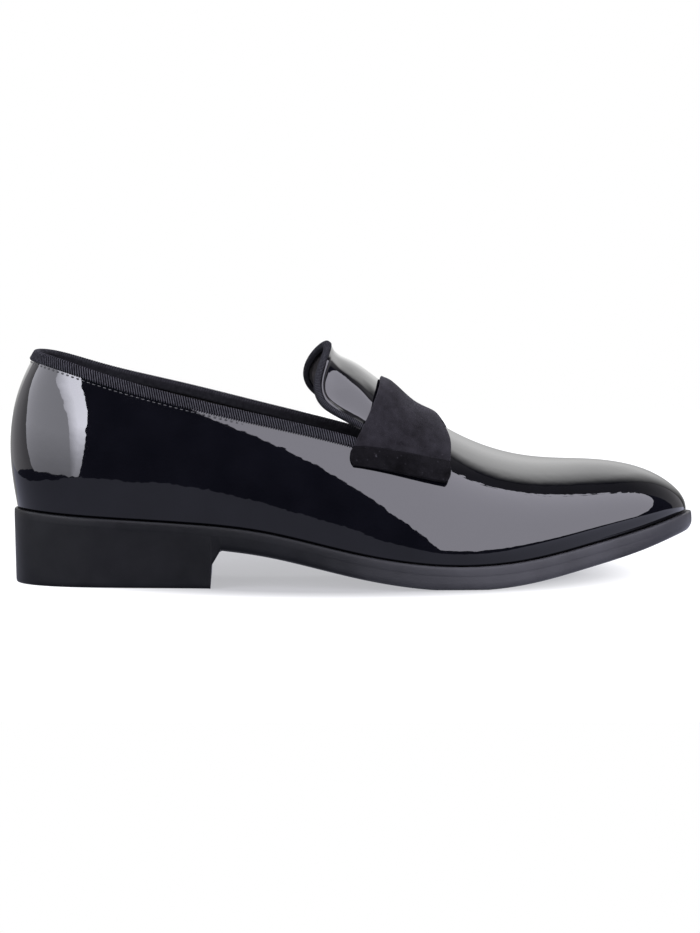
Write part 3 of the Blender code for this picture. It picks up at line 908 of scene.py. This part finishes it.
def make_strap():
    """The velvet band over the instep, with the soft wave it lies in."""

    def lay(up, on):
        down = 1.0 - 2.0 * up
        along = between(strap_edges(down), on)
        end_rise = strap_end_rise(between(strap_edges(1.0), on))
        rise = math.pi / 2 - down * (math.pi / 2 - end_rise)
        fade = 1.0 - np.abs(down) ** 3
        behind = 1.0 - eased(on, 0.0, STRAP_REAR_REACH)
        ridge = np.exp(-(down / STRAP_RIDGE_HALF) ** 2)
        rear_lift = STRAP_REAR_LIFT + STRAP_RIDGE_LIFT * ridge
        dip = STRAP_DIP * ridge * np.exp(-(on / STRAP_DIP_REACH) ** 2)
        lift = GAP + strap_wave(on) * fade + rear_lift * behind - dip
        return lifted_face(turn_at(along), rise, lift)

    strap = laid_grid("velvet_strap", STRAP_ROWS, STRAP_COLUMNS, lay)
    thicken(strap, STRAP_CLOTH, 1)
    round_edges(strap, STRAP_ROUNDING)
    apply_all(strap)
    settle(strap, (VELVET,), "velvet", "strap")


BAND_ROWS = 22
BAND_COLUMNS = 60
BAND_CLOTH = 2.2
BAND_ROUNDING = 1.0
BAND_REST = 0.35
BAND_BELLY = 0.5
BAND_BOW = 1.6
BAND_BOW_POWER = 2.5


def make_band(name, side, node):
    """The folded velvet band that ends the strap, on the inner side for 1 and on the outer side for -1."""

    def lay(up, on):
        share = on if side > 0 else 1.0 - on
        bow = BAND_BOW * np.abs(2.0 * up - 1.0) ** BAND_BOW_POWER
        along = BAND_ALONG[0] + bow + share * (BAND_ALONG[1] - BAND_ALONG[0] - 2.0 * bow)
        turn = turn_at(along)
        foot = between(BAND_FOOT_RISES, share)
        head = strap_end_rise(along) - 2.0 * GAP / section_height(turn)
        rise = between((foot, head), up)
        belly = BAND_BELLY * np.sin(math.pi * up)
        return lifted_face(side * turn, rise, BAND_REST + belly)

    band = laid_grid(name, BAND_ROWS, BAND_COLUMNS, lay)
    thicken(band, BAND_CLOTH, 1)
    round_edges(band, BAND_ROUNDING)
    apply_all(band)
    # painted shade: the bands take the darker copy of the velvet
    settle(band, (SHADED_VELVET,), "velvet", node)


# The sole and footbed

SOLE_ACROSS = 24
HEEL_STATIONS = 80
FRONT_STATIONS = 170
BREAST_STATIONS = (
    -64.0, -63.2, -62.7, -62.5, -62.35, -62.2, -62.05, -61.9, -61.2, -60.4, -59.6, -58.9, -58.5, -58.0, -57.0,
)
SOLE_SHARP = math.radians(40)
TREAD_FACING = -0.9
FOOTBED_STATIONS = 140
FOOTBED_ACROSS = 40
FOOTBED_DISH = 0.8
FOOTBED_WALL = 1.5
# The edge's profile: drop below its top, or rise from its bottom, and set-back from its lip. It is square
# under the heel, rounds in under the waist, and stands out a little lower down from the ball to the toe
EDGE_DROPS = (0.0, 0.12, 0.45, 1.1, 2.2, 3.3, 3.9, 4.15, 4.5)
PLAIN_TOP = (1.6, 0.6, 0.3, 0.22, 0.2, 0.2, 0.21, 0.23, 0.25)
FLARED_TOP = (2.0, 1.0, 0.65, 0.5, 0.42, 0.36, 0.35, 0.38, 0.35)
HEEL_RISES = (2.4, 1.3, 0.6, 0.2, 0.03, 0.0)
HEEL_FOOT = (0.95, 1.0, 1.15, 1.45, 1.85, 2.3)
FRONT_RISES = (4.0, 2.6, 1.7, 1.05, 0.35, 0.0)
WAIST_FOOT = (0.4, 0.55, 0.9, 1.8, 5.0, 9.5)
FLARED_FOOT = (0.25, 0.2, 0.4, 1.3, 4.6, 9.5)
TIP_FOOT = (0.5, 1.2, 2.0, 3.2, 6.0, 9.5)
FLARE_PLACES = (-30.0, 20.0)
TIP_PLACES = (112.0, 146.0)


def feather_outline(turns, spread):
    """The feather line seen from above, spread outward by a distance at each turn."""
    plan = outer_face(turns, 0.0)[:, :2]
    onward = unit(face_slopes(turns, 0.0)[0][:, :2])
    away = np.stack((-onward[:, 1], onward[:, 0]), axis=1)
    return plan + away * np.asarray(spread)[:, None]


def toe_share(turns):
    """A share that goes from 0 at the heel to 1 at the toe."""
    return (1.0 - np.cos(turns)) / 2


def before_heel(turns):
    """Whether a turn lies in front of the heel's breast."""
    return np.abs(turns) > turn_at(BREAST[-1][0]) + NUDGE


def sole_bottom(turns):
    """The height of the sole's underside, with the heel's breast."""
    places, heights = np.array(BREAST).T
    thickness = SOLE_THICKNESS - TOE_THINNING * toe_share(turns) ** TOE_THINNING_POWER
    sole = np.maximum(feather_height(turns) - thickness, 0.0)
    breast = np.interp(np.abs(turns), turn_at(places), heights)
    return np.where(before_heel(turns), sole, breast)


def sole_stations():
    """Turns from heel to toe, closer together at the heel's breast."""
    breast = turn_at(BREAST_STATIONS)
    heel = np.linspace(0.0, breast[0], HEEL_STATIONS)[:-1]
    front = np.linspace(breast[-1], math.pi, FRONT_STATIONS)[1:]
    return np.concatenate((heel, breast, front))


def make_sole():
    """The moulded sole with its low heel, arch, toe spring and shaped edge."""
    stations = sole_stations()
    profile = len(EDGE_DROPS) + len(HEEL_RISES)
    loop = 2 * profile + 2 * SOLE_ACROSS

    def edge_point(turn, step):
        bottom = sole_bottom(turn)
        top = feather_height(turn) - GAP
        lip = between((EDGE_HEEL, EDGE_TOE), toe_share(turn))
        along = feather_outline(turn, np.zeros(len(turn)))[:, 0]
        flare = eased(along, *FLARE_PLACES)
        if step < len(EDGE_DROPS):
            setback = between((PLAIN_TOP[step], FLARED_TOP[step]), flare)
            height = top - EDGE_DROPS[step]
        else:
            foot = step - len(EDGE_DROPS)
            in_front = before_heel(turn)
            flared = between((WAIST_FOOT[foot], FLARED_FOOT[foot]), flare)
            flared += (TIP_FOOT[foot] - FLARED_FOOT[foot]) * eased(along, *TIP_PLACES)
            setback = np.where(in_front, flared, HEEL_FOOT[foot])
            height = bottom + np.where(in_front, FRONT_RISES[foot], HEEL_RISES[foot])
        return np.column_stack((feather_outline(turn, lip - setback), height))

    outer = np.stack([edge_point(-stations, step) for step in range(profile)], axis=1)
    inner = np.stack([edge_point(stations, step) for step in range(profile)], axis=1)
    shares = np.linspace(0.0, 1.0, SOLE_ACROSS + 2)[1:-1][None, :, None]
    under = between((outer[:, -1:], inner[:, -1:]), shares)
    over = between((inner[:, :1], outer[:, :1]), shares)
    rings = np.concatenate((outer, under, inner[:, ::-1], over, outer[:, :1]), axis=1)

    def lay(around, on):
        side = np.rint(around * loop).astype(int)
        row = np.rint(on * (len(stations) - 1)).astype(int)
        return rings[row, side]

    sole = laid_grid("sole", loop, len(stations) - 1, lay)
    weld(sole, outside=True)
    settle(sole, (SOLE, TREAD), "sole", "outsole")
    for face in sole.data.polygons:
        face.material_index = 1 if face.normal.z < TREAD_FACING else 0
    pick(sole)
    bpy.ops.object.shade_smooth_by_angle(angle=SOLE_SHARP)


def make_footbed():
    """The footbed, slightly dished, that lies inside on the sole."""
    stations = np.linspace(0.0, math.pi, FOOTBED_STATIONS)
    inset = np.full(len(stations), -INSOLE_INSET)
    outer = feather_outline(-stations, inset)
    inner = feather_outline(stations, inset)

    def lay(over, on):
        row = np.rint(on * (len(stations) - 1)).astype(int)
        plan = between((inner[row], outer[row]), over[:, None])
        dish = FOOTBED_DISH * (1.0 - (2.0 * over - 1.0) ** 2) * np.sin(stations[row])
        return np.column_stack((plan, feather_height(stations[row]) + INSOLE_THICKNESS - dish))

    footbed = laid_grid("footbed", FOOTBED_ACROSS, len(stations) - 1, lay)
    weld(footbed)
    thicken(footbed, FOOTBED_WALL, -1)
    apply_all(footbed)
    settle(footbed, (LINING,), "lining", "insole")


# Floor, light and camera

FLOOR_TONE = 0.12
# The floor's soft shade: its middle and half size along and across, and the glow from outside it inward
SHADE_SPREAD = ((-0.008, 0.121), (0.05, 0.116))
FLOOR_GLOW = ((0.41, 1.0), (0.5, 0.58), (0.57, 0.37))
FLOOR_REACH = ((-0.45, -0.60), (0.95, 0.90))
# What the leather mirrors of the floor: its front edge, and how bright it is from the heel's end to the toe's
BOUNCE_FRONT = (
    (-0.38, -0.28), (-0.30, -0.57), (-0.13, -0.56), (-0.10, -0.42), (-0.03, -0.30), (0.05, -0.20),
    (0.16, -0.175), (0.45, -0.13),
)
BOUNCE_ENDS = (-0.38, 0.95)
BOUNCE = ((0.0, 0.30), (0.29, 0.32), (0.33, 0.36), (0.44, 0.80), (0.52, 1.0))
BOUNCE_RADIANCE = 2.1
BOUNCE_TINT = (0.93, 0.95, 1.18)
STUDIO_REACH = 3.0
SHEET_STEPS = 32
EVEN = ((0.0, 1.0), (1.0, 1.0))


def read(table, at):
    """What a table of places and values says at a place, or evenly between two."""
    return np.interp(at, *np.array(table).T)


def floor_places(across, upward):
    """Places over the floor."""
    (left, front), (right, back) = FLOOR_REACH
    along = between((left, right), across)
    return np.stack((along, between((front, back), upward), np.zeros(len(along))), axis=-1)


def bounce_places(across, upward):
    """Places over the part of the floor that the leather mirrors."""
    along = between(BOUNCE_ENDS, across)
    edges = (read(BOUNCE_FRONT, along), FLOOR_REACH[1][1])
    return np.stack((along, between(edges, upward), np.zeros(len(along))), axis=-1)


def lay_floor():
    """A pale floor in one smooth sheet, and the glowing one that the leather mirrors in its place."""
    floor = new_grid("pale_floor", SHEET_STEPS, SHEET_STEPS, floor_places)
    floor.data.materials.append(pale_floor())
    floor.visible_glossy = False
    floor.visible_diffuse = False
    light_sheet("floor_bounce", bounce_places, BOUNCE_RADIANCE, BOUNCE_TINT, BOUNCE)


def heading(azimuth, elevation):
    """Unit vectors for azimuths, from the camera's side towards the toe, and elevations in degrees."""
    turn = np.radians(azimuth)
    lift = np.radians(elevation)
    return np.stack((np.sin(turn) * np.cos(lift), -np.cos(turn) * np.cos(lift), np.sin(lift)), axis=-1)


def light_sheet(name, places, radiance, tint, across_fades=EVEN, upward_fades=EVEN):
    """A glowing sheet round the shoe, out of the camera's sight, given by the places of its points.

    Each fade is a place from 0 to 1, across the sheet or up it, and the share of the radiance there.
    """
    sheet = new_grid(name, SHEET_STEPS, SHEET_STEPS, places)
    glow = bpy.data.materials.new(name)
    glow.use_nodes = True
    tree = glow.node_tree
    tree.nodes.remove(tree.nodes["Principled BSDF"])
    emission = tree.nodes.new("ShaderNodeEmission")
    where = tree.nodes.new("ShaderNodeTexCoord").outputs["UV"]
    parts = new_node(where, "ShaderNodeSeparateXYZ", {"Vector": where})
    strength = tree.nodes.new("ShaderNodeMath")
    strength.operation = "MULTIPLY"
    for socket, way, fades, scale in ((0, "X", across_fades, radiance), (1, "Y", upward_fades, 1.0)):
        stops = [(place, grey(share)) for place, share in fades]
        scaled = new_node(where, "ShaderNodeMath", {0: shades(parts.outputs[way], stops), 1: scale})
        scaled.operation = "MULTIPLY"
        feed(strength, {socket: scaled.outputs[0]})
    feed(emission, {"Color": (*tint, 1.0), "Strength": strength.outputs[0]})
    feed(tree.nodes["Material Output"], {"Surface": emission.outputs["Emission"]})
    sheet.data.materials.append(glow)
    sheet.visible_camera = False
    sheet.visible_shadow = False


def card(left, right, lows, high):
    """Places of an upright sheet between two edges, from its two lowest elevations up to its highest."""

    def places(across, upward):
        lift = between((between(lows, across), high), upward)
        azimuth = between((read(left, lift), read(right, lift)), across)
        return heading(azimuth, lift) * STUDIO_REACH

    return places


def front_scrim(across, upward):
    """Places of the large sheet in front towards the toe, which bends over the shoe."""
    lift = read(SCRIM_LIFTS, upward)
    left = heading(read(SCRIM_LEFT, lift), lift)
    right_lift = between((SCRIM_RIGHT[0][0], SCRIM_RIGHT[-1][0]), upward)
    right = heading(read(SCRIM_RIGHT, right_lift), right_lift)
    angle = np.arccos(np.clip(np.sum(left * right, axis=-1), -1.0, 1.0))
    first = np.sin((1.0 - across) * angle) / np.sin(angle)
    second = np.sin(across * angle) / np.sin(angle)
    return (left * first[:, None] + right * second[:, None]) * STUDIO_REACH


def backdrop(across, upward):
    """Places of the bright board that stands behind the shoe."""
    along = between(BACKDROP_ENDS, across)
    return np.stack((along, np.full(len(along), BACKDROP_BEHIND), BACKDROP_HEIGHT * upward), axis=-1)


# The scrim's elevations by share up it, then the sheets' edges: elevations, each with the azimuth there
SCRIM_LIFTS = ((0.0, -2.0), (0.25, 15.0), (0.6, 28.0), (1.0, 95.1))
SCRIM_LEFT = (
    (-2.0, 1.6), (1.0, 0.2), (9.5, -1.5), (16.0, -3.4), (19.3, -4.3), (20.8, -9.0), (24.0, -14.0),
    (40.0, -22.0),
)
SCRIM_RIGHT = ((-2.0, 61.0), (17.5, 66.0), (35.0, 75.0), (51.0, 90.0), (59.0, 98.5))
HEEL_RIGHT = (
    (-6.0, -30.0), (-4.5, -29.0), (-0.4, -26.0), (5.7, -23.2), (11.3, -21.6), (15.8, -21.2), (18.5, -22.0),
    (21.2, -25.5), (30.0, -42.0),
)
HEEL_SPLIT = ((-4.6, -36.3), (0.2, -34.2), (5.9, -33.6), (12.0, -35.0), (16.8, -42.0), (24.0, -64.0))
HEEL_LEFT = (
    (-7.1, -83.0), (-4.7, -89.0), (-0.8, -93.4), (8.3, -100.0), (12.0, -104.0), (14.0, -108.0),
    (18.0, -114.0),
)
HEEL_BEHIND = ((0.0, -165.0),)
TOE_FRONT = ((0.0, 97.0),)
TOE_BEHIND = ((0.0, 160.0),)
TOE_LOW_END = ((0.0, 135.0),)
BACKDROP_ENDS = (-0.27, 0.30)
BACKDROP_BEHIND = 0.2
BACKDROP_HEIGHT = 0.75
BACKDROP_ACROSS = ((0.0, 1.0), (0.81, 1.0), (0.9, 0.5), (1.0, 0.06))
BACKDROP_UPWARD = (
    (0.0, 0.13), (0.1, 0.18), (0.153, 0.37), (0.22, 0.66), (0.267, 0.78), (0.32, 0.87), (0.40, 0.97),
    (0.467, 1.0), (0.547, 0.88), (0.64, 0.73), (0.733, 0.50), (0.867, 0.18), (1.0, 0.0),
)
NEUTRAL = (1.0, 1.0, 1.0)
COOL = (0.97, 0.95, 1.0)
SCRIM_TINT = (0.97, 0.95, 1.08)
GREY_TINT = (0.95, 0.95, 1.05)
LIGHT_TINT = (1.0, 1.0, 1.12)
UNLIT = (0.07, 0.075, 0.11, 1.0)
SCRIM_RADIANCE = 7.2
BACKDROP_RADIANCE = 3.75
LIGHT_ACROSS = ((0.0, 1.0), (0.4, 0.95), (1.0, 0.5))
LIGHT_UPWARD = ((0.0, 0.27), (0.12, 0.42), (0.32, 1.0), (0.6, 0.9))
GREY_UPWARD = ((0.0, 0.55), (0.25, 0.92))
SIDE_ACROSS = ((0.0, 0.9), (0.3, 1.0), (1.0, 0.6))
TOE_UPWARD = ((0.3, 1.0), (0.62, 0.5), (0.8, 0.2))
# Each card: its edges, lowest elevations and highest one, radiance, tint and fades across and upward
CARDS = {
    "heel_card_light": (
        (HEEL_RIGHT, HEEL_SPLIT, (-4.5, -5.2), 45.0), 22.5, LIGHT_TINT, LIGHT_ACROSS, LIGHT_UPWARD,
    ),
    "heel_card_grey": ((HEEL_SPLIT, HEEL_LEFT, (-5.2, -7.1), 45.0), 6.5, GREY_TINT, EVEN, GREY_UPWARD),
    "heel_side_card": ((HEEL_LEFT, HEEL_BEHIND, (-7.1, -9.0), 40.0), 1.15, COOL, SIDE_ACROSS, EVEN),
    "toe_side_card": ((TOE_FRONT, TOE_BEHIND, (-4.0, -4.0), 84.0), 0.95, COOL, EVEN, TOE_UPWARD),
    "toe_low_card": ((TOE_FRONT, TOE_LOW_END, (-3.0, -3.0), 12.0), 2.0, COOL, EVEN, EVEN),
}


def light_studio():
    """A tall scrim in front towards the toe, cards round the heel and the toe, and a bright board behind."""
    light_sheet("front_scrim", front_scrim, SCRIM_RADIANCE, SCRIM_TINT)
    for name, (shape, *glow) in CARDS.items():
        light_sheet(name, card(*shape), *glow)
    light_sheet("backdrop", backdrop, BACKDROP_RADIANCE, NEUTRAL, BACKDROP_ACROSS, BACKDROP_UPWARD)
    world = bpy.data.worlds.new("studio")
    bpy.context.scene.world = world
    world.use_nodes = True
    tree = world.node_tree
    ground = tree.nodes["Background"]
    seen = tree.nodes.new("ShaderNodeBackground")
    path = tree.nodes.new("ShaderNodeLightPath")
    mix = tree.nodes.new("ShaderNodeMixShader")
    feed(ground, {"Color": UNLIT})
    feed(seen, {"Color": (1.0, 1.0, 1.0, 1.0)})
    shaders = {1: ground.outputs["Background"], 2: seen.outputs["Background"]}
    feed(mix, {"Fac": path.outputs["Is Camera Ray"], **shaders})
    feed(tree.nodes["World Output"], {"Surface": mix.outputs["Shader"]})


VIEW_ELEVATION = 5.0
VIEW_DISTANCE = 7.0
VIEW_MIDDLE = (-0.66, 0.0, 51.0)
VIEW_WIDTH = 309.3
VIEW_LIMIT = 50.0
SENSOR_WIDTH = 36.0


def set_camera():
    """A long lens a little above the shoe, square to its outer side."""
    view = bpy.data.cameras.new("camera")
    view.sensor_fit = "HORIZONTAL"
    view.sensor_width = SENSOR_WIDTH
    view.lens = SENSOR_WIDTH * VIEW_DISTANCE / (VIEW_WIDTH * MM)
    view.clip_end = VIEW_LIMIT
    camera = bpy.data.objects.new("camera", view)
    bpy.context.scene.collection.objects.link(camera)
    out = Vector(heading(0.0, VIEW_ELEVATION))
    camera.location = Vector(VIEW_MIDDLE) * MM + out * VIEW_DISTANCE
    camera.rotation_euler = out.to_track_quat("Z", "Y").to_euler()
    bpy.context.scene.camera = camera


PATENT = patent_leather()
LINING = lining_leather("lining_leather", paleness=1.5)
# The lining inside the tongue is the same lining painted much paler: painted light.
LIT_TONGUE_LINING = lining_leather("painted_lit_lining", paleness=9.0)
GROSGRAIN = grosgrain()
VELVET = velvet("velvet", depth=0.8)
# The bands' velvet is the same velvet painted darker: painted shade, as the bands face down.
SHADED_VELVET = velvet("shaded_velvet", depth=0.27)
SOLE = moulded_sole()
TREAD = sole_tread()

make_upper()
make_ribbon("collar_ribbon", collar_edge(0.0), COLLAR_BINDING_WIDTH, COLLAR_RIBS, "collar_binding")
make_puckers()
make_ribbon("tongue_ribbon", tongue_rim(), TONGUE_BINDING_WIDTH, TONGUE_RIBS, "tongue_binding", edge_roll)
make_strap()
make_band("velvet_band_outer", -1, "strap_end_lateral")
make_band("velvet_band_inner", 1, "strap_end_medial")
make_sole()
make_footbed()

lay_floor()
light_studio()
set_camera()
bpy.context.scene.view_settings.view_transform = "Standard"
